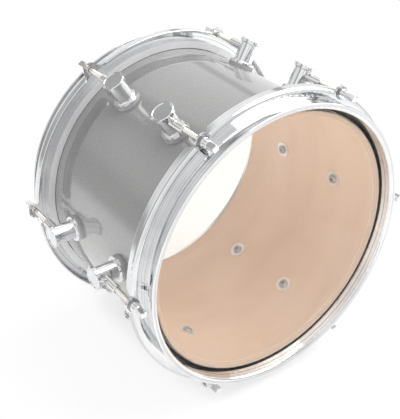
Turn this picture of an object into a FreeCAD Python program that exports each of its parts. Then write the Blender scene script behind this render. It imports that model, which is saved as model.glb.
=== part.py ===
"""Tom drum with a clear drum head, lying on its side.

Millimetres, +Z up. The drum's axis runs along Y, the clear head faces -Y and the
drum stands on the skirts of its two hoops at Z = 0, with the origin under its middle.

Each end is drawn standing up, with its bearing edge at height 0 and its head facing
+Z, and is then laid over on its side. The two ends are alike.
"""
import FreeCAD, Part
import math
import os

# Shell: a ply tube with a flat crest on each bearing edge
shell_diameter = 304.0
shell_depth = 228.6
shell_wall = 6.0
crest_width = 0.8
edge_outer_round = 0.6
edge_inner_drop = 4.0

# Places around the drum
ears_per_end = 6
first_ear_angle = 28.5

# Head: film, the channel that holds its edge, and the resin in the channel
film_thickness = 0.25
film_bend_radius = 1.2
collar_depth = 9.2
film_tail_length = 5.5
film_tail_inset = 0.3
flesh_hoop_gap = 0.5
flesh_hoop_width = 8.0
flesh_hoop_height = 9.0
flesh_hoop_sheet = 0.7
resin_drop = 2.0

# Counter hoop: pressed sheet with a rolled lip, leaning wall, flange, skirt and ears
hoop_sheet = 2.2
hoop_rim_height = 13.4
hoop_seat_width = 3.5
hoop_wall_lean = 18.0
hoop_foot_bend = 1.0
lip_bend = 2.4
lip_flat = 1.7
skirt_overhang = 13.5
skirt_bend = 5.0
skirt_height = 12.0
skirt_corner_radius = 9.5
rod_standoff = 12.7
ear_radius = 8.5
ear_shoulder = 0.6

# Tension rod and its washer
rod_diameter = 5.4
rod_end_room = 5.0
rod_hole_clearance = 0.5
rod_tip_chamfer = 0.8
key_collar_diameter = 11.0
key_collar_height = 2.2
key_barrel_diameter = 9.2
key_barrel_height = 5.6
key_square = 6.35
key_square_height = 10.8
key_end_chamfer = 0.7
rod_washer_diameter = 13.5
rod_washer_thickness = 1.2

# Lug: a round post with a cap and a foot, on a gasket, with a threaded sleeve through it
lug_set_in = 67.8
lug_crown = 11.0
lug_waist_diameter = 21.0
lug_flare = 1.5
lug_cap_lip = 0.5
lug_cap_thickness = 4.0
lug_cap_dish = 0.7
lug_cap_rim = 1.6
lug_foot_lip = 2.2
lug_foot_thickness = 1.8
gasket_thickness = 3.6
gasket_margin = 0.3
sleeve_diameter = 9.5
sleeve_reach = 30.5
sleeve_floor = 5.0
sleeve_mouth_chamfer = 0.6

# Screw that holds the lug from inside the shell
screw_diameter = 5.0
screw_end_room = 5.2
screw_head_diameter = 11.0
screw_head_height = 3.2
screw_head_chamfer = 1.0
screw_washer_diameter = 19.0
screw_washer_thickness = 1.2

# Clearances: a thread that runs in its nut, a piece set in a hole, and overrun for cuts
running_clearance = 0.08
set_clearance = 0.05
overrun = 1.0
same_point = 0.00001

# Radii and levels that follow from the sizes above
shell_radius = shell_diameter / 2
shell_inner_radius = shell_radius - shell_wall
crest_outer_radius = shell_radius - edge_outer_round
crest_inner_radius = crest_outer_radius - crest_width
flesh_inner_radius = shell_radius + flesh_hoop_gap
flesh_outer_radius = flesh_inner_radius + flesh_hoop_width
hoop_root_radius = flesh_outer_radius - hoop_seat_width
skirt_radius = flesh_outer_radius + skirt_overhang
rod_circle_radius = flesh_outer_radius + rod_standoff
flange_under = -collar_depth
flange_top = flange_under + hoop_sheet
skirt_end = flange_top - skirt_height
washer_top = flange_top + rod_washer_thickness
rod_axis_height = rod_circle_radius - shell_radius
rod_end = rod_end_room - lug_set_in
rod_hole_radius = rod_diameter / 2 + rod_hole_clearance
lug_cap_diameter = lug_waist_diameter + 2 * (lug_flare + lug_cap_lip)
lug_foot_diameter = lug_waist_diameter + 2 * (lug_flare + lug_foot_lip)
screw_top = rod_axis_height - sleeve_diameter / 2 - screw_end_room
drum_axis_height = skirt_radius
ear_spacing = 360.0 / ears_per_end
ear_half_width = ear_radius + ear_shoulder
ear_half_angle = math.degrees(math.asin(ear_half_width / skirt_radius))

up = FreeCAD.Vector(0, 0, 1)
centre = FreeCAD.Vector(0, 0, 0)


def polar(middle, radius, angle):
    """Point of the profile plane at an angle on a circle."""
    turn = math.radians(angle)
    return (middle[0] + radius * math.cos(turn), middle[1] + radius * math.sin(turn))


def profile(start, *steps):
    """Closed face in the plane of radius and height; a step is a point, or an arc's middle and end."""
    edges = []
    here = FreeCAD.Vector(start[0], 0, start[1])
    for step in steps + (start,):
        if isinstance(step[0], tuple):
            middle = FreeCAD.Vector(step[0][0], 0, step[0][1])
            there = FreeCAD.Vector(step[1][0], 0, step[1][1])
            edges.append(Part.Arc(here, middle, there).toShape())
        else:
            there = FreeCAD.Vector(step[0], 0, step[1])
            if there.distanceToPoint(here) > same_point:
                edges.append(Part.makeLine(here, there))
        here = there
    return Part.Face(Part.Wire(edges))


def turned(face, sweep=360.0):
    """Solid of revolution about the Z axis."""
    return face.revolve(centre, up, sweep)


def disc(radius, low, high, x=0.0, y=0.0):
    """Upright cylinder between two heights."""
    return Part.makeCylinder(radius, high - low, FreeCAD.Vector(x, y, low), up)


def bar(radius, start, end, height):
    """Cylinder along X at a height."""
    return Part.makeCylinder(radius, end - start, FreeCAD.Vector(start, 0, height), FreeCAD.Vector(1, 0, 0))


def spun(shape, angle):
    """Copy turned about the Z axis."""
    copy = shape.copy()
    copy.rotate(centre, up, angle)
    return copy


def post_to_end(shape, angle):
    """Stand a piece drawn on a post (Z along the post, X towards the head) on the shell."""
    turn = math.radians(angle)
    out_x, out_y = math.cos(turn), math.sin(turn)
    place = FreeCAD.Matrix(0, out_y, out_x, shell_radius * out_x,
                           0, -out_x, out_y, shell_radius * out_y,
                           1, 0, 0, -lug_set_in,
                           0, 0, 0, 1)
    copy = shape.copy()
    copy.Placement = FreeCAD.Placement(place).multiply(copy.Placement)
    return copy


def rod_to_end(shape, angle):
    """Move a piece drawn on the Z axis out to the rod circle."""
    copy = shape.copy()
    copy.translate(FreeCAD.Vector(rod_circle_radius, 0, 0))
    return spun(copy, angle)


def ear_angles(end):
    """Angles of the ears in the end's own frame; both ends line up on the drum."""
    from_floor = [first_ear_angle + ear_spacing * number for number in range(ears_per_end)]
    if end == "front":
        return [270.0 - angle for angle in from_floor]
    return [90.0 + angle for angle in from_floor]


def laid(shape, end):
    """Lay a piece of one end on its side, in its place on the drum."""
    side = 1 if end == "front" else -1
    lay = FreeCAD.Rotation(FreeCAD.Vector(1, 0, 0), 90.0 * side)
    offset = FreeCAD.Vector(0, -side * shell_depth / 2, drum_axis_height)
    copy = shape.copy()
    copy.Placement = FreeCAD.Placement(offset, lay).multiply(copy.Placement)
    return copy


def make_shell():
    """Tube from the front bearing edge at height 0 down to the back one, drilled for the lugs."""
    half = shell_depth / 2
    round_middle = (crest_outer_radius, -edge_outer_round)
    face = profile((shell_inner_radius, -half), (shell_inner_radius, -edge_inner_drop),
                   (crest_inner_radius, 0), (crest_outer_radius, 0),
                   (polar(round_middle, edge_outer_round, 45), (shell_radius, -edge_outer_round)),
                   (shell_radius, -half))
    upper = turned(face)
    lower = upper.mirror(FreeCAD.Vector(0, 0, -half), up)
    tube = upper.fuse(lower).removeSplitter()
    hole = disc(screw_diameter / 2 + set_clearance, -shell_wall - overrun, overrun)
    holes = []
    for angle in ear_angles("front"):
        front_hole = post_to_end(hole, angle)
        back_hole = front_hole.copy()
        back_hole.translate(FreeCAD.Vector(0, 0, 2 * lug_set_in - shell_depth))
        holes += [front_hole, back_hole]
    return tube.cut(holes)


def make_film():
    """Thin disc that rolls over the crest, slopes down as a collar and ends in the channel."""
    tail_inner = flesh_inner_radius + flesh_hoop_sheet + film_tail_inset
    tail_outer = tail_inner + film_thickness
    tail_end = -collar_depth - film_tail_length
    bend = (crest_outer_radius, -film_bend_radius)
    reach = math.hypot(tail_inner - bend[0], -collar_depth - bend[1])
    toward_tail = math.degrees(math.atan2(-collar_depth - bend[1], tail_inner - bend[0]))
    leave = toward_tail + math.degrees(math.acos(film_bend_radius / reach))
    outer_bend = film_bend_radius + film_thickness
    slope = math.tan(math.radians(90.0 - leave))
    outer_start = polar(bend, outer_bend, leave)
    outer_foot = (tail_outer, outer_start[1] - (tail_outer - outer_start[0]) * slope)
    face = profile((0, 0), (crest_outer_radius, 0),
                   (polar(bend, film_bend_radius, (90 + leave) / 2), polar(bend, film_bend_radius, leave)),
                   (tail_inner, -collar_depth), (tail_inner, tail_end), (tail_outer, tail_end),
                   outer_foot, outer_start,
                   (polar(bend, outer_bend, (90 + leave) / 2), polar(bend, outer_bend, 90)),
                   (0, film_thickness))
    return turned(face)


def make_flesh_hoop():
    """Channel ring, open towards the film."""
    top = -collar_depth
    floor = top - flesh_hoop_height
    inside_floor = floor + flesh_hoop_sheet
    inner_wall = flesh_inner_radius + flesh_hoop_sheet
    outer_wall = flesh_outer_radius - flesh_hoop_sheet
    face = profile((flesh_inner_radius, floor), (flesh_outer_radius, floor), (flesh_outer_radius, top),
                   (outer_wall, top), (outer_wall, inside_floor), (inner_wall, inside_floor),
                   (inner_wall, top), (flesh_inner_radius, top))
    return turned(face)


def make_resin_bead():
    """Ring cast in the channel around the film's edge."""
    inner = flesh_inner_radius + flesh_hoop_sheet
    outer = flesh_outer_radius - flesh_hoop_sheet
    floor = -collar_depth - flesh_hoop_height + flesh_hoop_sheet
    top = -collar_depth - resin_drop
    tail_inner = inner + film_tail_inset
    tail_outer = tail_inner + film_thickness
    tail_end = -collar_depth - film_tail_length
    face = profile((inner, floor), (outer, floor), (outer, top), (tail_outer, top), (tail_outer, tail_end),
                   (tail_inner, tail_end), (tail_inner, top), (inner, top))
    return turned(face)


def hoop_ring():
    """Lip, leaning wall and flat flange of the hoop, all the way round."""
    foot_middle = (hoop_root_radius, flange_top + hoop_foot_bend)
    foot_outer = hoop_foot_bend + hoop_sheet
    lip_outer = lip_bend + hoop_sheet
    lip_level = hoop_rim_height - lip_outer
    lean_out = (lip_level - foot_middle[1]) * math.tan(math.radians(hoop_wall_lean))
    lip_middle = (foot_middle[0] + lean_out, lip_level)
    lip_end = lip_middle[0] + lip_flat
    lip_round = (lip_end + hoop_sheet / 2, hoop_rim_height - hoop_sheet / 2)
    flange_end = skirt_radius - skirt_bend
    wall_side = 180.0 - hoop_wall_lean
    lip_half = (wall_side + 90.0) / 2
    foot_half = (wall_side + 270.0) / 2
    face = profile(polar(foot_middle, foot_outer, wall_side), polar(lip_middle, lip_outer, wall_side),
                   (polar(lip_middle, lip_outer, lip_half), polar(lip_middle, lip_outer, 90)),
                   (lip_end, hoop_rim_height),
                   (lip_round, (lip_end, hoop_rim_height - hoop_sheet)), polar(lip_middle, lip_bend, 90),
                   (polar(lip_middle, lip_bend, lip_half), polar(lip_middle, lip_bend, wall_side)),
                   polar(foot_middle, hoop_foot_bend, wall_side),
                   (polar(foot_middle, hoop_foot_bend, foot_half), polar(foot_middle, hoop_foot_bend, 270)),
                   (flange_end, flange_top), (flange_end, flange_under), polar(foot_middle, foot_outer, 270),
                   (polar(foot_middle, foot_outer, foot_half), polar(foot_middle, foot_outer, wall_side)))
    return turned(face)


def hoop_skirt():
    """One span of skirt between two ears, its lower edge swept up to the ear at each end."""
    bend = (skirt_radius - skirt_bend, flange_top - skirt_bend)
    inner_bend = skirt_bend - hoop_sheet
    skirt_middle = skirt_radius - hoop_sheet / 2
    round_level = skirt_end + hoop_sheet / 2
    face = profile((bend[0], flange_top), (polar(bend, skirt_bend, 45), polar(bend, skirt_bend, 0)),
                   (skirt_radius, round_level),
                   ((skirt_middle, skirt_end), (skirt_radius - hoop_sheet, round_level)),
                   polar(bend, inner_bend, 0),
                   (polar(bend, inner_bend, 45), polar(bend, inner_bend, 90)))
    span = turned(face, ear_spacing - 2 * ear_half_angle)
    span.rotate(centre, up, ear_half_angle)
    first = spun(skirt_corner(), ear_half_angle)
    last = spun(skirt_corner().mirror(centre, FreeCAD.Vector(0, 1, 0)), ear_spacing - ear_half_angle)
    return span.cut([first, last])


def skirt_corner():
    """What is taken off the lower corner of a skirt that starts at angle 0, to round it."""
    inner = skirt_radius - skirt_bend
    length = skirt_bend + overrun
    block = Part.makeBox(length, skirt_corner_radius + overrun, skirt_corner_radius + overrun,
                         FreeCAD.Vector(inner, -overrun, skirt_end - overrun))
    start = inner - overrun
    round_bar = bar(skirt_corner_radius, start, start + length + 2 * overrun, skirt_end + skirt_corner_radius)
    round_bar.translate(FreeCAD.Vector(0, skirt_corner_radius, 0))
    return block.cut(round_bar)


def hoop_ear():
    """Flat ear at angle 0: a round lobe on a plate that fills the space between two skirts."""
    sweep = 2 * ear_half_angle
    face = profile((hoop_root_radius, flange_under), (rod_circle_radius, flange_under),
                   (rod_circle_radius, flange_top), (hoop_root_radius, flange_top))
    plate = spun(turned(face, sweep), -ear_half_angle)
    return plate.fuse(disc(ear_radius, flange_under, flange_top, rod_circle_radius))


def make_counter_hoop(end):
    """Pressed hoop with one ear over each rod."""
    ring = hoop_ring()
    skirt = hoop_skirt()
    ear = hoop_ear()
    hole = disc(rod_hole_radius, flange_under - overrun, flange_top + overrun, rod_circle_radius)
    angles = ear_angles(end)
    hoop = ring.fuse([spun(skirt, angle) for angle in angles] + [spun(ear, angle) for angle in angles])
    hoop = hoop.removeSplitter()
    return hoop.cut([spun(hole, angle) for angle in angles])


def make_rod():
    """Rod with a collar, a round barrel and a square key end, on the Z axis."""
    radius = rod_diameter / 2
    collar_top = washer_top + key_collar_height
    barrel_top = collar_top + key_barrel_height
    tip = barrel_top + key_square_height
    collar_radius = key_collar_diameter / 2
    barrel_radius = key_barrel_diameter / 2
    face = profile((0, rod_end), (radius - rod_tip_chamfer, rod_end), (radius, rod_end + rod_tip_chamfer),
                   (radius, washer_top), (collar_radius, washer_top), (collar_radius, collar_top),
                   (barrel_radius, collar_top), (barrel_radius, barrel_top - key_end_chamfer),
                   (barrel_radius - key_end_chamfer, barrel_top), (0, barrel_top))
    corner = FreeCAD.Vector(-key_square / 2, -key_square / 2, barrel_top - key_end_chamfer)
    key = Part.makeBox(key_square, key_square, key_square_height + key_end_chamfer, corner)
    end_edges = [edge for edge in key.Edges if edge.BoundBox.ZMin > tip - key_end_chamfer / 2]
    key = key.makeChamfer(key_end_chamfer, end_edges)
    return turned(face).fuse(key).removeSplitter()


def make_rod_washer():
    """Flat washer on the ear, on the Z axis."""
    ring = disc(rod_washer_diameter / 2, flange_top, washer_top)
    return ring.cut(disc(rod_hole_radius, flange_top - overrun, washer_top + overrun))


def shell_cylinder(radius):
    """Cylinder round the drum's axis, as seen from a post's own frame."""
    reach = lug_foot_diameter + screw_washer_diameter
    return bar(radius, -reach, reach, -shell_radius)


def make_lug():
    """Round post: foot curved to the shell, waist, cap with a dished face, drilled for sleeve and screw."""
    cap_radius = lug_cap_diameter / 2
    waist_radius = lug_waist_diameter / 2
    top = rod_axis_height + lug_crown
    foot_radius = lug_foot_diameter / 2
    foot_top = gasket_thickness + lug_foot_thickness
    under_cap = top - lug_cap_thickness
    flare_radius = waist_radius + lug_flare
    dish_radius = cap_radius - lug_cap_rim
    bend_low = (flare_radius, foot_top + lug_flare)
    bend_high = (flare_radius, under_cap - lug_flare)
    dish_floor = top - lug_cap_dish
    face = profile((0, -foot_radius), (foot_radius, -foot_radius), (foot_radius, foot_top),
                   (flare_radius, foot_top),
                   (polar(bend_low, lug_flare, 225), polar(bend_low, lug_flare, 180)),
                   (waist_radius, bend_high[1]),
                   (polar(bend_high, lug_flare, 135), polar(bend_high, lug_flare, 90)),
                   (cap_radius, under_cap), (cap_radius, dish_floor), (cap_radius - lug_cap_dish, top),
                   (dish_radius, top), (dish_radius - lug_cap_dish, dish_floor), (0, dish_floor))
    post = turned(face).cut(shell_cylinder(shell_radius + gasket_thickness))
    sleeve_hole = bar(sleeve_diameter / 2 + set_clearance, -sleeve_floor, sleeve_reach, rod_axis_height)
    screw_hole = disc(screw_diameter / 2 + set_clearance, -foot_radius, screw_top + set_clearance)
    return post.cut([sleeve_hole, screw_hole])


def make_sleeve():
    """Threaded receiver through the post, closed at its inner end."""
    radius = sleeve_diameter / 2
    bore_radius = rod_diameter / 2 + running_clearance
    outside = bar(radius, -sleeve_floor, sleeve_reach - sleeve_mouth_chamfer, rod_axis_height)
    mouth = Part.makeCone(radius, radius - sleeve_mouth_chamfer, sleeve_mouth_chamfer,
                          FreeCAD.Vector(sleeve_reach - sleeve_mouth_chamfer, 0, rod_axis_height),
                          FreeCAD.Vector(1, 0, 0))
    tube = outside.fuse(mouth).removeSplitter()
    return tube.cut(bar(bore_radius, 0, sleeve_reach + overrun, rod_axis_height))


def make_gasket():
    """Ring that follows the shell under the post's foot."""
    ring = disc(lug_foot_diameter / 2 + gasket_margin, -lug_foot_diameter, gasket_thickness)
    ring = ring.common(shell_cylinder(shell_radius + gasket_thickness))
    ring = ring.cut(shell_cylinder(shell_radius))
    return ring.cut(disc(screw_diameter / 2 + set_clearance, -lug_foot_diameter, gasket_thickness + overrun))


def make_screw_washer():
    """Washer under the screw head, curved to the inside of the shell."""
    face_level = -shell_wall - screw_washer_thickness
    ring = disc(screw_washer_diameter / 2, face_level, 0)
    ring = ring.common(shell_cylinder(shell_inner_radius))
    return ring.cut(disc(screw_diameter / 2 + set_clearance, face_level - overrun, overrun))


def make_screw():
    """Pan-head screw from inside the shell up into the post."""
    radius = screw_diameter / 2
    head_radius = screw_head_diameter / 2
    seat = -shell_wall - screw_washer_thickness
    head_end = seat - screw_head_height
    face = profile((0, head_end), (head_radius - screw_head_chamfer, head_end),
                   (head_radius, head_end + screw_head_chamfer), (head_radius, seat), (radius, seat),
                   (radius, screw_top), (0, screw_top))
    return turned(face)


def save(name, shape):
    """Write one node."""
    shape.exportStep(os.path.join("parts", name + ".step"))


os.makedirs("parts", exist_ok=True)
save("shell", laid(make_shell(), "front"))

film = make_film()
flesh_hoop = make_flesh_hoop()
resin_bead = make_resin_bead()
rod = make_rod()
rod_washer = make_rod_washer()
lug = make_lug()
sleeve = make_sleeve()
post_groups = {"lug_gaskets": make_gasket(),
               "lug_screws": make_screw(),
               "lug_screw_washers": make_screw_washer()}

for end in ("front", "back"):
    angles = ear_angles(end)
    save(end + "_head_film", laid(film, end))
    save(end + "_flesh_hoop", laid(flesh_hoop, end))
    save(end + "_resin_bead", laid(resin_bead, end))
    save(end + "_counter_hoop", laid(make_counter_hoop(end), end))
    for number, angle in enumerate(angles, 1):
        save("%s_tension_rod_%d" % (end, number), laid(rod_to_end(rod, angle), end))
        save("%s_lug_%d" % (end, number), laid(post_to_end(lug, angle), end))
        save("%s_lug_sleeve_%d" % (end, number), laid(post_to_end(sleeve, angle), end))
    washers = [laid(rod_to_end(rod_washer, angle), end) for angle in angles]
    save(end + "_rod_washers", Part.makeCompound(washers))
    for name, piece in post_groups.items():
        pieces = [laid(post_to_end(piece, angle), end) for angle in angles]
        save(end + "_" + name, Part.makeCompound(pieces))
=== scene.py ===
import math

import bmesh
import bpy
from mathutils import Matrix, Vector


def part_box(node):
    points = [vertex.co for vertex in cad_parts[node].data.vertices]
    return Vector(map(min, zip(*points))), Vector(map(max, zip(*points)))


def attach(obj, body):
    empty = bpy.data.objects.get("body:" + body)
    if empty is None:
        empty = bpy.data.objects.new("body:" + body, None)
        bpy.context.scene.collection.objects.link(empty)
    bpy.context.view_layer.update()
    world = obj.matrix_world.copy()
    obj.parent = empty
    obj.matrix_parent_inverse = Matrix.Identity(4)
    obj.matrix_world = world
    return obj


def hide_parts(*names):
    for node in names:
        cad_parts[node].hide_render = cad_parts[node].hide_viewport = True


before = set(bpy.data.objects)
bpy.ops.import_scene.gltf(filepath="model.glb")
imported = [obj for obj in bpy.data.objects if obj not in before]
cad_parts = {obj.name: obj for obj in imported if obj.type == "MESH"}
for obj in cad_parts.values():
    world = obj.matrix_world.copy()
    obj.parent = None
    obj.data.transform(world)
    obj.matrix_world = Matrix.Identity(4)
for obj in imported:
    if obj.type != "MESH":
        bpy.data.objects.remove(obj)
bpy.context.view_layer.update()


# Shell: a tube of six maple plies, rolled and glued, with a bearing edge routed on each end.
# The outside is sprayed with silver grey lacquer and polished, with painted shade: black over the last
# few millimetres under each head, where the gap lies dark. The edges and the inside are bare wood.
shell_low, shell_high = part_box("shell")
drum_centre = (shell_low + shell_high) / 2
shell_radius = (shell_high.x - shell_low.x) / 2
shell_half_depth = (shell_high.y - shell_low.y) / 2
shell_wall = 0.006
ply_total = 6
ply = shell_wall / ply_total
bore_radius = shell_radius - shell_wall
lacquer_skin = 0.0003
bore_skin = 0.0002
painted_shade_width = 0.006
glue_share = 0.1
streak_share = 0.35
band_share = 0.45
lacquer_grey = (0.250, 0.249, 0.247)
lacquer_flake = (0.305, 0.304, 0.302)
painted_gap_shade_black = (0.012, 0.012, 0.012)
maple_pale = (0.812, 0.642, 0.516)
maple_warm = (0.690, 0.512, 0.390)
maple_edge = (0.670, 0.515, 0.405)
maple_end_grain = (0.590, 0.440, 0.335)
glue_line = (0.420, 0.270, 0.160)


def new_finish(name, colour, settings=None):
    """A material with one shader whose own sockets hold this colour and these settings."""
    material = bpy.data.materials.new(name)
    material.use_nodes = True
    shader = material.node_tree.nodes["Principled BSDF"]
    shader.inputs["Base Color"].default_value = (*colour, 1)
    for socket, value in (settings or {}).items():
        shader.inputs[socket].default_value = value
    return material, material.node_tree, shader


def put(tree, kind, values=None, feeds=None, **options):
    """A new node: values set its sockets, feeds link sockets to other nodes' outputs."""
    node = tree.nodes.new("ShaderNode" + kind)
    for option, value in options.items():
        setattr(node, option, value)
    for socket, value in (values or {}).items():
        node.inputs[socket].default_value = value
    for socket, source in (feeds or {}).items():
        tree.links.new(source, node.inputs[socket])
    return node


def maths(tree, operation, first, second=0.0):
    """A calculation with two numbers, each a value or another node's output."""
    node = put(tree, "Math", operation=operation)
    for socket, term in zip(node.inputs, (first, second)):
        if isinstance(term, (int, float)):
            socket.default_value = term
        else:
            tree.links.new(term, socket)
    return node.outputs[0]


def blend_colours(tree, share, first, second):
    """A colour between two, each a colour or another node's output."""
    node = put(tree, "Mix", feeds={0: share}, data_type="RGBA")
    for socket, colour in ((6, first), (7, second)):
        if isinstance(colour, tuple):
            node.inputs[socket].default_value = (*colour, 1)
        else:
            tree.links.new(colour, node.inputs[socket])
    return node.outputs[2]


def blend_values(tree, share, first, second):
    """A number between two other nodes' outputs."""
    return put(tree, "Mix", feeds={0: share, 2: first, 3: second}).outputs[0]


def spread(tree, source, low, high, from_low=0.25, from_high=0.75):
    """A pattern's values stretched smoothly over a new range."""
    limits = {"From Min": from_low, "From Max": from_high, "To Min": low, "To Max": high}
    node = put(tree, "MapRange", limits, {"Value": source}, interpolation_type="SMOOTHSTEP")
    return node.outputs["Result"]


def mottle(tree, where, scale, detail, distortion=0.0):
    """A pattern of soft patches, the smaller the larger its scale."""
    look = {"Scale": scale, "Detail": detail, "Distortion": distortion}
    return put(tree, "TexNoise", look, {"Vector": where}).outputs["Fac"]


def drawn_out(tree, first, first_scale, second, second_scale):
    """Places for a pattern that has its own scale each way over a surface."""
    node = put(tree, "CombineXYZ", feeds={"X": maths(tree, "MULTIPLY", first, first_scale),
                                          "Y": maths(tree, "MULTIPLY", second, second_scale)})
    return node.outputs["Vector"]


def from_axis(tree, where):
    """A point's coordinates, its height above the drum's axis and its reach from that axis."""
    point = put(tree, "SeparateXYZ", feeds={"Vector": where}).outputs
    rise = maths(tree, "SUBTRACT", point["Z"], drum_centre.z)
    across = put(tree, "CombineXYZ", feeds={"X": point["X"], "Z": rise}).outputs["Vector"]
    reach = put(tree, "VectorMath", feeds={0: across}, operation="LENGTH").outputs["Value"]
    return point, rise, reach


def bumps(tree, shader, height, strength, depth):
    """Fine relief on a shader."""
    node = put(tree, "Bump", {"Strength": strength, "Distance": depth}, {"Height": height})
    tree.links.new(node.outputs["Normal"], shader.inputs["Normal"])


def coat_node(name, material):
    """Give a CAD node its finish."""
    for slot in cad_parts[name].material_slots:
        slot.material = material


shell_finish, tree, shader = new_finish("lacquered_maple", lacquer_grey, {
    "Coat Roughness": 0.03, "Coat IOR": 2.0})
where = put(tree, "TexCoord").outputs["Object"]
point, rise, reach = from_axis(tree, where)
arc = maths(tree, "MULTIPLY", maths(tree, "ARCTAN2", point["X"], rise), bore_radius)
lacquered = maths(tree, "GREATER_THAN", reach, shell_radius - lacquer_skin)
inside = maths(tree, "LESS_THAN", reach, bore_radius + bore_skin)
# lacquer: fine metal flake in the colour, the ripple that spraying leaves, and painted shade, black at each
# end
ripple = mottle(tree, where, scale=650.0, detail=1.0)
flake = mottle(tree, where, scale=1100.0, detail=2.0)
flake_colour = blend_colours(tree, spread(tree, flake, 0.0, 1.0), lacquer_grey, lacquer_flake)
from_middle = maths(tree, "ABSOLUTE", maths(tree, "SUBTRACT", point["Y"], drum_centre.y))
# painted shade: black over the last few millimetres at each end, where the gap under the head is dark
painted_shade_band = maths(tree, "GREATER_THAN", from_middle, shell_half_depth - painted_shade_width)
lacquer_colour = blend_colours(tree, painted_shade_band, flake_colour, painted_gap_shade_black)
# maple face: streaks along the grain, which runs round the shell, and slow bands of warmer wood
streaks = mottle(tree, drawn_out(tree, arc, 38.0, point["Y"], 1100.0), scale=1.0, detail=3.0)
bands = mottle(tree, drawn_out(tree, arc, 5.0, point["Y"], 26.0), scale=1.0, detail=3.0, distortion=0.6)
figure = maths(tree, "ADD", spread(tree, streaks, 0.0, streak_share), spread(tree, bands, 0.0, band_share))
maple_colour = blend_colours(tree, figure, maple_pale, maple_warm)
# bearing edge: six plies, their grain by turns along and across, with thin glue lines between
ply_level = maths(tree, "DIVIDE", maths(tree, "SUBTRACT", reach, bore_radius), ply)
odd_ply = maths(tree, "GREATER_THAN", maths(tree, "FRACT", maths(tree, "MULTIPLY", ply_level, 0.5)), 0.5)
glued = maths(tree, "GREATER_THAN", maths(tree, "FRACT", ply_level), 1 - glue_share)
edge_colour = blend_colours(tree, figure, maple_edge, maple_end_grain)
ply_colour = blend_colours(tree, odd_ply, edge_colour, maple_end_grain)
ply_colour = blend_colours(tree, glued, ply_colour, glue_line)
wood_colour = blend_colours(tree, inside, ply_colour, maple_colour)
tree.links.new(blend_colours(tree, lacquered, wood_colour, lacquer_colour), shader.inputs["Base Color"])
wood_roughness = spread(tree, streaks, 0.48, 0.62)
lacquer_roughness = spread(tree, flake, 0.27, 0.29)
tree.links.new(blend_values(tree, lacquered, wood_roughness, lacquer_roughness), shader.inputs["Roughness"])
tree.links.new(lacquered, shader.inputs["Coat Weight"])
bumps(tree, shader, blend_values(tree, lacquered, streaks, ripple), strength=0.06, depth=0.0004)
coat_node("shell", shell_finish)


# Lug gaskets: thick rings moulded in pale grey rubber, curved to the shell on one side, one under
# each lug so that the metal doesn't mark the lacquer.
ends = ("front", "back")
rubber_grey = (0.430, 0.430, 0.426)
rubber_worn = (0.500, 0.498, 0.492)


def two_tone(tree, shader, pattern, first, second):
    """A shader's colour goes between two with a pattern."""
    colour = blend_colours(tree, spread(tree, pattern, 0.0, 1.0), first, second)
    tree.links.new(colour, shader.inputs["Base Color"])


rubber, tree, shader = new_finish("gasket_rubber_grey", rubber_grey)
where = put(tree, "TexCoord").outputs["Object"]
dust = mottle(tree, where, scale=260.0, detail=3.0)
two_tone(tree, shader, dust, rubber_grey, rubber_worn)
tree.links.new(spread(tree, dust, 0.5, 0.7), shader.inputs["Roughness"])
grit = mottle(tree, where, scale=2600.0, detail=2.0)
bumps(tree, shader, grit, strength=0.25, depth=0.0002)
for end in ends:
    coat_node(end + "_lug_gaskets", rubber)


# Lugs: round posts turned from brass bar, with a dished cap and a thin foot, polished and
# chrome plated. Each takes a sleeve through its waist and a screw from inside the shell.
places = range(1, 7)


def new_metal(name, bright, dull, smooth, rough, wave, metal=1.0):
    """Worked metal: a slow change of tone and polish, and the slight wave of its surface."""
    material, tree, shader = new_finish(name, bright, {"Metallic": metal})
    where = put(tree, "TexCoord").outputs["Object"]
    two_tone(tree, shader, mottle(tree, where, scale=34.0, detail=3.0), bright, dull)
    haze = mottle(tree, where, scale=140.0, detail=4.0)
    tree.links.new(spread(tree, haze, smooth, rough), shader.inputs["Roughness"])
    swell = mottle(tree, where, scale=70.0, detail=1.0)
    bumps(tree, shader, swell, strength=wave, depth=0.001)
    return material


lug_chrome = new_metal("lug_plating", bright=(0.86, 0.865, 0.87), dull=(0.78, 0.785, 0.80),
                       smooth=0.02, rough=0.05, wave=0.02)
for end in ends:
    for place in places:
        coat_node("%s_lug_%d" % (end, place), lug_chrome)


# Lug sleeves: brass tubes threaded inside for the tension rods, nickel plated, pressed
# through the lugs with their mouths towards the hoop.
sleeve_nickel = new_metal("sleeve_plating", bright=(0.85, 0.85, 0.84), dull=(0.78, 0.77, 0.75),
                          smooth=0.03, rough=0.07, wave=0.01)
for end in ends:
    for place in places:
        coat_node("%s_lug_sleeve_%d" % (end, place), sleeve_nickel)


# Lug screws and washers: zinc plated pan-head screws with a cross recess, driven from inside
# the shell into the lugs, each on a pale washer that is bent to the curve of the wall.
head_radius = 0.0055
head_height = 0.0032
head_flat = 0.0036
head_edge = 0.0010
head_sides = 32
rounding_steps = 6
recess_reach = 0.0029
recess_half = 0.0007
recess_depth = 0.0017
recess_taper = 0.55
screw_twist = math.radians(37)
washer_thickness = 0.0012
screw_seat = bore_radius - washer_thickness


def turn_profile(mesh, outline, sides):
    """Sweep an outline of (radius, height) points round the Z axis; radius zero closes an end."""
    rings = []
    for radius, height in outline:
        turns = [2 * math.pi * side / sides for side in range(sides if radius else 1)]
        rings.append([mesh.verts.new((radius * math.cos(turn), radius * math.sin(turn), height))
                      for turn in turns])
    for lower, upper in zip(rings, rings[1:]):
        for side in range(sides):
            corners = [lower[side % len(lower)], lower[(side + 1) % len(lower)],
                       upper[(side + 1) % len(upper)], upper[side % len(upper)]]
            mesh.faces.new(list(dict.fromkeys(corners)))
    return rings


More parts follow.
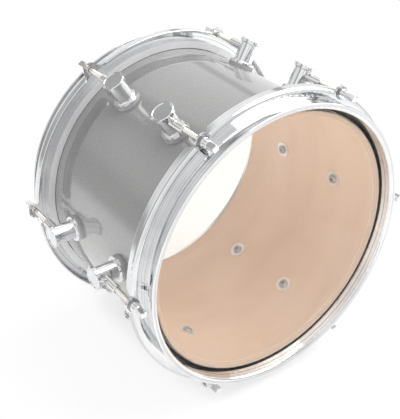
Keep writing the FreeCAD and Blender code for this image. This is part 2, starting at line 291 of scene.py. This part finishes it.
def stack_outlines(mesh, outlines):
    """Walls between closed outlines of (x, y, z) points that lie one above another."""
    rings = [[mesh.verts.new(point) for point in outline] for outline in outlines]
    for lower, upper in zip(rings, rings[1:]):
        for corner in range(len(lower)):
            onward = (corner + 1) % len(lower)
            mesh.faces.new((lower[corner], lower[onward], upper[onward], upper[corner]))
    return rings


def save_mesh(name, mesh, *materials, sharp=math.radians(35)):
    """Mesh data from a bmesh, smooth but for its sharp edges."""
    bmesh.ops.recalc_face_normals(mesh, faces=mesh.faces)
    for face in mesh.faces:
        face.smooth = True
    data = bpy.data.meshes.new(name)
    mesh.to_mesh(data)
    mesh.free()
    data.set_sharp_from_angle(angle=sharp)
    for material in materials:
        data.materials.append(material)
    return data


def stand_piece(name, data):
    """An object in the scene with this mesh."""
    piece = bpy.data.objects.new(name, data)
    bpy.context.scene.collection.objects.link(piece)
    return piece


def turned(x_way, z_way):
    """A turn that points an object's own X and Z axes these ways."""
    return Matrix((x_way, z_way.cross(x_way), z_way)).transposed().to_4x4()


def rod_place(end, place):
    """The way from the drum's axis to a rod, which its ear and lug share, and the rod's own middle."""
    low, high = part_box("%s_tension_rod_%d" % (end, place))
    middle = (low + high) / 2
    return Vector((middle.x - drum_centre.x, 0, middle.z - drum_centre.z)).normalized(), middle


zinc = new_metal("screw_zinc", bright=(0.50, 0.51, 0.51), dull=(0.42, 0.43, 0.43),
                 smooth=0.36, rough=0.50, wave=0.05)
washer_zinc = new_metal("washer_zinc", bright=(0.90, 0.91, 0.89), dull=(0.82, 0.83, 0.81),
                        smooth=0.42, rough=0.55, wave=0.05)
# one head: a flat foot, a short straight side and a rounded top, open round the cross recess
one_head = bmesh.new()
rounding = [math.radians(90 * step / rounding_steps) for step in range(rounding_steps + 1)]
dome = [(head_flat + (head_radius - head_flat) * math.cos(turn),
         head_edge + (head_height - head_edge) * math.sin(turn)) for turn in rounding]
top_ring = turn_profile(one_head, [(0, 0), (head_radius, 0)] + dome, head_sides)[-1]
arm, half = recess_reach, recess_half
cross = [(arm, -half), (arm, half), (half, half), (half, arm), (-half, arm), (-half, half),
         (-arm, half), (-arm, -half), (-half, -half), (-half, -arm), (half, -arm), (half, -half)]
pit_outline = [(x * recess_taper, y * recess_taper, head_height - recess_depth) for x, y in cross]
mouth, pit = stack_outlines(one_head, [[(x, y, head_height) for x, y in cross], pit_outline])
one_head.faces.new(pit)
rim_edges = [one_head.edges.get((ring[corner - 1], ring[corner]))
             for ring in (top_ring, mouth) for corner in range(len(ring))]
bmesh.ops.triangle_fill(one_head, use_beauty=True, edges=rim_edges)
head_data = save_mesh("screw_head", one_head)
# a copy of it on each washer of an end, its foot towards the wall
along = Vector((0, 1, 0))
for end in ends:
    heads = bmesh.new()
    for place in places:
        out, _ = rod_place(end, place)
        lug_low, lug_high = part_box("%s_lug_%d" % (end, place))
        seat = drum_centre + out * screw_seat
        seat.y = (lug_low.y + lug_high.y) / 2
        twist = Matrix.Rotation(screw_twist * place, 4, "Z")
        before = len(heads.verts)
        heads.from_mesh(head_data)
        heads.verts.ensure_lookup_table()
        bmesh.ops.transform(heads, matrix=Matrix.Translation(seat) @ turned(along, -out) @ twist,
                            verts=heads.verts[before:])
    screws = stand_piece(end + "_pan_head_screws", save_mesh(end + "_pan_head_screws", heads, zinc))
    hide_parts(end + "_lug_screws")
    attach(screws, "shell")
    coat_node(end + "_lug_screw_washers", washer_zinc)
bpy.data.meshes.remove(head_data)


# Flesh hoops: channel rings rolled from thin aluminium and butt joined, milky with oxide; the
# film's edge is cast into each with a bead of amber resin.
resin_amber = (0.420, 0.200, 0.050)
resin_dark = (0.300, 0.130, 0.030)
aluminium = new_metal("flesh_hoop_aluminium_sheet", bright=(0.91, 0.91, 0.92), dull=(0.84, 0.84, 0.85),
                      smooth=0.42, rough=0.56, wave=0.02, metal=0.35)
resin, tree, shader = new_finish("cast_resin", resin_amber, {"Coat Weight": 0.4})
where = put(tree, "TexCoord").outputs["Object"]
pour = mottle(tree, where, scale=45.0, detail=3.0)
two_tone(tree, shader, pour, resin_amber, resin_dark)
tree.links.new(spread(tree, pour, 0.22, 0.4), shader.inputs["Roughness"])
bumps(tree, shader, pour, strength=0.1, depth=0.0005)
for end in ends:
    coat_node(end + "_flesh_hoop", aluminium)
    coat_node(end + "_resin_bead", resin)


# Head films: clear polyester drawn over a warm former, so that each has a flat field and a
# sloping collar. They are glossy, with a slight haze, and show the bare wood inside.
film_gloss = (0.93, 0.91, 0.88)
film_clear = (1.0, 0.995, 0.985)
slant_power = 5.0
slant_most = 0.9
clear_film, tree, shader = new_finish("clear_polyester", film_gloss, {"IOR": 1.57})
where = put(tree, "TexCoord").outputs["Object"]
haze = mottle(tree, where, scale=16.0, detail=4.0)
tree.links.new(spread(tree, haze, 0.06, 0.14), shader.inputs["Roughness"])
slant = put(tree, "LayerWeight", {"Blend": 0.5}).outputs["Facing"]
slant_gloss = maths(tree, "MULTIPLY", maths(tree, "POWER", slant, slant_power), slant_most)
gloss_share = maths(tree, "ADD", slant_gloss, spread(tree, haze, 0.03, 0.05))
bare = put(tree, "BsdfTransparent", {"Color": (*film_clear, 1)})
layer = put(tree, "MixShader", feeds={0: gloss_share, 1: bare.outputs["BSDF"], 2: shader.outputs["BSDF"]})
tree.links.new(layer.outputs["Shader"], tree.nodes["Material Output"].inputs["Surface"])
for end in ends:
    coat_node(end + "_head_film", clear_film)


# Counter hoops: steel strip rolled and pressed to a lip, a wall, a flat flange and a skirt that
# sweeps up to the six ears, then polished and chrome plated. They press the heads down.
line_dull = (0.56, 0.57, 0.585)
line_scale = 700.0
hoop_chrome = new_metal("hoop_plating", bright=(0.86, 0.865, 0.87), dull=(0.76, 0.765, 0.775),
                        smooth=0.03, rough=0.07, wave=0.02)
# fine lines that the rolls leave along the strip, duller than the metal between them
tree = hoop_chrome.node_tree
shader = tree.nodes["Principled BSDF"]
tone = shader.inputs["Base Color"].links[0].from_socket
swell = shader.inputs["Normal"].links[0].from_socket
point, _, reach = from_axis(tree, put(tree, "TexCoord").outputs["Object"])
lines = mottle(tree, drawn_out(tree, reach, line_scale, point["Y"], line_scale), scale=1.0, detail=1.0)
line_share = spread(tree, lines, 0.0, 1.0, from_low=0.5, from_high=0.75)
tree.links.new(blend_colours(tree, line_share, tone, line_dull), shader.inputs["Base Color"])
grooves = put(tree, "Bump", {"Strength": 0.12, "Distance": 0.0005}, {"Height": lines, "Normal": swell})
tree.links.new(grooves.outputs["Normal"], shader.inputs["Normal"])
for end in ends:
    coat_node(end + "_counter_hoop", hoop_chrome)


# Tension rods and washers: steel rods with a rolled thread, a plain shank, a collar, a round
# barrel and a square end for the drum key, plated. They draw the hoop towards the lugs.
inch = 0.0254
thread_pitch = inch / 24
thread_root = 0.00216
thread_crest = 0.00268
thread_sides = 16
shank_radius = 0.00272
shank_length = 0.010
collar_radius = 0.0055
collar_height = 0.0022
barrel_radius = 0.0046
barrel_height = 0.0056
barrel_edge = 0.0007
key_half = inch / 8
key_height = 0.0108
key_edge = 0.0007
key_corner = 0.00035
edge_break = 0.0003
rod_sides = 32
rod_low, rod_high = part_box("front_tension_rod_1")
rod_length = rod_high.y - rod_low.y
rod_chrome = new_metal("rod_head_plating", bright=(0.88, 0.88, 0.88), dull=(0.82, 0.82, 0.81),
                       smooth=0.06, rough=0.12, wave=0.01)
rod_nickel = new_metal("rod_thread_plating", bright=(0.90, 0.86, 0.80), dull=(0.84, 0.79, 0.72),
                       smooth=0.16, rough=0.26, wave=0.01)
washer_steel = new_metal("rod_washer_steel", bright=(0.40, 0.40, 0.41), dull=(0.32, 0.32, 0.33),
                         smooth=0.26, rough=0.40, wave=0.02)
# head: a square key with broken edges on a round barrel and a collar
rod_mesh = bmesh.new()
key_foot = -key_height
collar_top = key_foot - barrel_height
collar_foot = collar_top - collar_height
side, corner = key_half, key_half - key_corner
square = [(side, -corner), (side, corner), (corner, side), (-corner, side),
          (-side, corner), (-side, -corner), (-corner, -side), (corner, -side)]
shrink = 1 - key_edge / key_half
key_rings = stack_outlines(rod_mesh, [[(x, y, key_foot - edge_break) for x, y in square],
                                      [(x, y, -key_edge) for x, y in square],
                                      [(x * shrink, y * shrink, 0) for x, y in square]])
rod_mesh.faces.new(key_rings[-1])
turn_profile(rod_mesh, [(0, key_foot), (barrel_radius - barrel_edge, key_foot),
                        (barrel_radius, key_foot - barrel_edge), (barrel_radius, collar_top),
                        (collar_radius - edge_break, collar_top), (collar_radius, collar_top - edge_break),
                        (collar_radius, collar_foot), (shank_radius, collar_foot)], rod_sides)
head_faces = len(rod_mesh.faces)
# stem: the plain shank, and below it a core of the thread's root
thread_top = collar_foot - shank_length
thread_foot = -rod_length + edge_break
turn_profile(rod_mesh, [(shank_radius, collar_foot), (shank_radius, thread_top + edge_break),
                        (shank_radius - edge_break, thread_top), (0, thread_top)], rod_sides)
turn_profile(rod_mesh, [(0, -rod_length), (thread_root - edge_break, -rod_length),
                        (thread_root, thread_foot), (thread_root, thread_top)], thread_sides)
# thread: rows of points that follow the helix, at its root, flank, crest and flank by turns
thread_flank = (thread_root + thread_crest) / 2
row_radii = (thread_root, thread_flank, thread_crest, thread_flank)
turn_rows = len(row_radii)
rows = turn_rows * int((thread_top - thread_foot) / thread_pitch)
helix = []
for step in range(thread_sides):
    turn = 2 * math.pi * step / thread_sides
    helix.append([rod_mesh.verts.new((row_radii[row % turn_rows] * math.cos(turn),
                                      row_radii[row % turn_rows] * math.sin(turn),
                                      thread_foot + thread_pitch * (row / turn_rows + step / thread_sides)))
                  for row in range(rows)])
for step in range(thread_sides):
    onward, lift = (step + 1, 0) if step + 1 < thread_sides else (0, turn_rows)
    for row in range(rows - 1 - lift):
        rod_mesh.faces.new((helix[step][row], helix[onward][row + lift],
                            helix[onward][row + lift + 1], helix[step][row + 1]))
rod_mesh.faces.ensure_lookup_table()
for face in rod_mesh.faces[head_faces:]:
    face.material_index = 1
rod_data = save_mesh("tension_rod", rod_mesh, rod_chrome, rod_nickel)
for end in ends:
    coat_node(end + "_rod_washers", washer_steel)
    outward = Vector((0, -1 if end == "front" else 1, 0))
    for place in places:
        out, middle = rod_place(end, place)
        rod = stand_piece("%s_threaded_rod_%d" % (end, place), rod_data)
        rod.matrix_world = Matrix.Translation(middle + outward * rod_length / 2) @ turned(out, outward)
        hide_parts("%s_tension_rod_%d" % (end, place))
        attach(rod, "%s_rod_%d" % (end, place))


# Floor: a round white sheet that fades out towards its rim and glows, so that it lights the drum
# from below. Seen by the camera or in the metal it is white and keeps the drum's soft shadow; near
# the line on which the drum stands its glow is weaker, painted shade that deepens that shadow.
sheet_radius = 1.3
sheet_sides = 64
fade_start = 0.55
fade_end = 0.97 * sheet_radius
shadow_deep = 0.085
shadow_light = 0.118
shadow_shape = (1.0, 0.35, 0.0)
shadow_shift = (0.0, -0.02, 0.0)


def white_floor(tree, matt_share, glow):
    """White that keeps a shadow: a matt share takes the shadow, the rest glows evenly."""
    matt = put(tree, "BsdfDiffuse", {"Color": (matt_share, matt_share, matt_share, 1)})
    even = put(tree, "Emission", {"Color": (1, 1, 1, 1), "Strength": glow})
    return put(tree, "AddShader", feeds={0: matt.outputs[0], 1: even.outputs[0]}).outputs[0]


def by_ray(tree, lighting, mirrored, seen):
    """One shader for the light a thing gives, one for its mirror image, one for the plain view of it."""
    ray = put(tree, "LightPath").outputs
    direct = maths(tree, "MAXIMUM", ray["Is Camera Ray"], ray["Is Transmission Ray"])
    unseen = put(tree, "MixShader", feeds={0: ray["Is Glossy Ray"], 1: lighting, 2: mirrored}).outputs[0]
    return put(tree, "MixShader", feeds={0: direct, 1: unseen, 2: seen}).outputs[0]


floor_mesh = bpy.data.meshes.new("floor")
sheet_turns = [2 * math.pi * step / sheet_sides for step in range(sheet_sides)]
sheet_rim = [(sheet_radius * math.cos(turn), sheet_radius * math.sin(turn), 0) for turn in sheet_turns]
floor_mesh.from_pydata(sheet_rim, [], [tuple(range(sheet_sides))])
floor = stand_piece("floor", floor_mesh)
floor_paint, tree, shader = new_finish("floor_paint", (0.88, 0.88, 0.88), {
    "Roughness": 0.9, "Emission Color": (1, 1, 1, 1), "Emission Strength": 0.9})
where = put(tree, "TexCoord").outputs["Object"]
stand_line = put(tree, "VectorMath", {1: shadow_shape, 2: shadow_shift}, {0: where},
                 operation="MULTIPLY_ADD")
from_stand = put(tree, "VectorMath", feeds={0: stand_line.outputs["Vector"]}, operation="LENGTH")
painted_shade_near_drum = spread(tree, from_stand.outputs["Value"], 1.0, 0.0, shadow_deep, shadow_light)
# painted shade: the sheet glows less and takes more shadow near the line on which the drum stands
seen_floor = put(tree, "MixShader", feeds={0: painted_shade_near_drum, 1: white_floor(tree, matt_share=0.17, glow=0.86),
                                           2: white_floor(tree, matt_share=0.40, glow=0.63)})
mirrored_floor = white_floor(tree, matt_share=0.70, glow=0.36)
sheet = by_ray(tree, shader.outputs["BSDF"], mirrored_floor, seen_floor.outputs[0])
from_origin = put(tree, "VectorMath", feeds={0: where}, operation="LENGTH").outputs["Value"]
fade = spread(tree, from_origin, 0.0, 1.0, from_low=fade_start, from_high=fade_end)
gone = put(tree, "BsdfTransparent")
faded_sheet = put(tree, "MixShader", feeds={0: fade, 1: sheet, 2: gone.outputs[0]})
tree.links.new(faded_sheet.outputs[0], tree.nodes["Material Output"].inputs["Surface"])
floor_mesh.materials.append(floor_paint)


# Light: a white room with a grey screen high up at the far left and narrow ones nearer by, which
# the polished metal mirrors, and one large soft lamp up at the right. The camera sees plain white.
room_light = 0.78
screen_way = (-0.35, 0.25, 0.25)
ramp_middle = 0.5
wall_tones = ((0.10, 1.00), (0.12, 0.35), (0.15, 0.35), (0.17, 1.00), (0.27, 1.00), (0.29, 0.30),
              (0.33, 0.30), (0.35, 1.00), (0.52, 1.00), (0.54, 0.50), (0.56, 0.50), (0.58, 1.00),
              (0.84, 1.00), (0.88, 0.45), (0.94, 0.45), (0.97, 0.85), (1.00, 0.85))
lamp_place = (1.4, -0.6, 1.9)
lamp_size = 3.0
lamp_power = 45.0
world = bpy.data.worlds.new("white_room")
bpy.context.scene.world = world
world.use_nodes = True
tree = world.node_tree
direction = put(tree, "TexCoord").outputs["Generated"]
to_screen = put(tree, "VectorMath", {1: screen_way}, {0: direction}, operation="DOT_PRODUCT")
walls = put(tree, "ValToRGB", feeds={"Fac": maths(tree, "ADD", to_screen.outputs["Value"], ramp_middle)})
stops = walls.color_ramp.elements
while len(stops) < len(wall_tones):
    stops.new(ramp_middle)
for stop, (level, tone) in zip(stops, wall_tones):
    stop.position = level
    stop.color = (tone, tone, tone, 1)
mirrored_room = put(tree, "Background", {"Strength": 1.0}, {"Color": walls.outputs["Color"]})
lit_room = put(tree, "Background", {"Strength": room_light, "Color": (1, 1, 1, 1)})
plain_room = put(tree, "Background", {"Strength": 1.0, "Color": (1, 1, 1, 1)})
room = by_ray(tree, lit_room.outputs[0], mirrored_room.outputs[0], plain_room.outputs[0])
tree.links.new(room, tree.nodes["World Output"].inputs["Surface"])

lamp_data = bpy.data.lights.new("soft_lamp", "AREA")
lamp_data.shape = "DISK"
lamp_data.size = lamp_size
lamp_data.energy = lamp_power
lamp = bpy.data.objects.new("soft_lamp", lamp_data)
lamp.location = lamp_place
lamp.rotation_euler = (drum_centre - lamp.location).to_track_quat("-Z", "Y").to_euler()
bpy.context.scene.collection.objects.link(lamp)


# Camera: stands in front and to the left of the drum, looking down on its clear head, with the
# drum's middle a little right of and above the middle of the picture.
azimuth = math.radians(-35.40)
elevation = math.radians(31.61)
camera_distance = 0.9562
camera_left = 0.0147
camera_down = 0.0098
towards = Vector((math.sin(azimuth) * math.cos(elevation), -math.cos(azimuth) * math.cos(elevation),
                  math.sin(elevation)))
rightwards = (-towards).cross(Vector((0, 0, 1))).normalized()
upwards = towards.cross(rightwards)
camera_data = bpy.data.cameras.new("camera")
camera_data.sensor_fit = "VERTICAL"
camera_data.sensor_height = 36.0
camera_data.lens = 71.05
camera = bpy.data.objects.new("camera", camera_data)
stand = drum_centre + towards * camera_distance - rightwards * camera_left - upwards * camera_down
camera.matrix_world = Matrix.Translation(stand) @ turned(rightwards, towards)
bpy.context.scene.collection.objects.link(camera)
bpy.context.scene.camera = camera
bpy.context.scene.view_settings.view_transform = "Standard"
